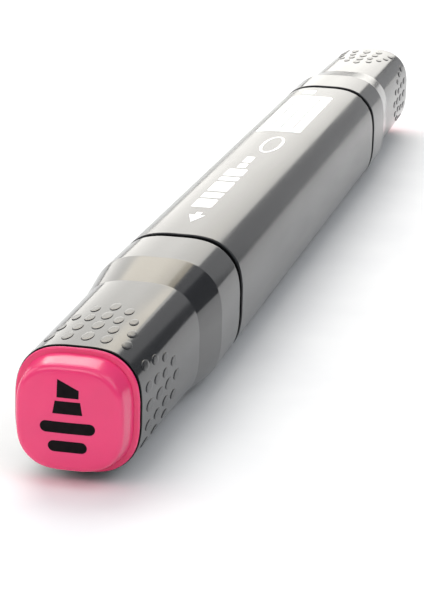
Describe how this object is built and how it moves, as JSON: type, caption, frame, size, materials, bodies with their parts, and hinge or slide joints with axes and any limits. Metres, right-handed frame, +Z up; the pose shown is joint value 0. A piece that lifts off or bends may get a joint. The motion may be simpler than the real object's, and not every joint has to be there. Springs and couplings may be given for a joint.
{
  "type": "felt tip marker",
  "caption": "Twin-tip felt marker of rounded-square section with a chisel nib, a bullet nib, and a pull-off cap with raised grip dots and a coloured end plug at each end.",
  "frame": {"origin": "under the middle of the marker, on the surface that it lies on", "axes": "+Y along the marker from the broad end to the fine end, +Z up, +X to the right when looking along +Y"},
  "size_m": [0.0128, 0.155, 0.0128],
  "materials": {
    "barrel_grey": "gloss grey",
    "cap_grey": "gloss grey",
    "plug_pink": "gloss rose pink",
    "seam_black": "satin black",
    "inner_cap_black": "satin black",
    "holder_black": "semi-gloss black",
    "nib_felt": "ink-stained felt",
    "reservoir_fibre": "ink-soaked fibre",
    "reservoir_film": "clear film"
  },
  "bodies": {
    "root": {"barrel": "barrel_grey", "reservoir_fibre": "reservoir_fibre", "reservoir_film": "reservoir_film", "broad_seam_ring": "seam_black", "broad_nib_holder": "holder_black", "broad_nib": "nib_felt", "fine_seam_ring": "seam_black", "fine_nib_holder": "holder_black", "fine_nib": "nib_felt"},
    "broad_cap": {"broad_cap_shell": "cap_grey", "broad_inner_cap": "inner_cap_black", "broad_end_plug": "plug_pink"},
    "fine_cap": {"fine_cap_shell": "cap_grey", "fine_inner_cap": "inner_cap_black", "fine_end_plug": "plug_pink"}
  },
  "joints": [
    {"name": "broad_cap_pull", "type": "slide", "parent": "root", "child": "broad_cap", "axis": [0, -1, 0], "range_m": [0, 0.034]},
    {"name": "fine_cap_pull", "type": "slide", "parent": "root", "child": "fine_cap", "axis": [0, 1, 0], "range_m": [0, 0.034]}
  ]
}
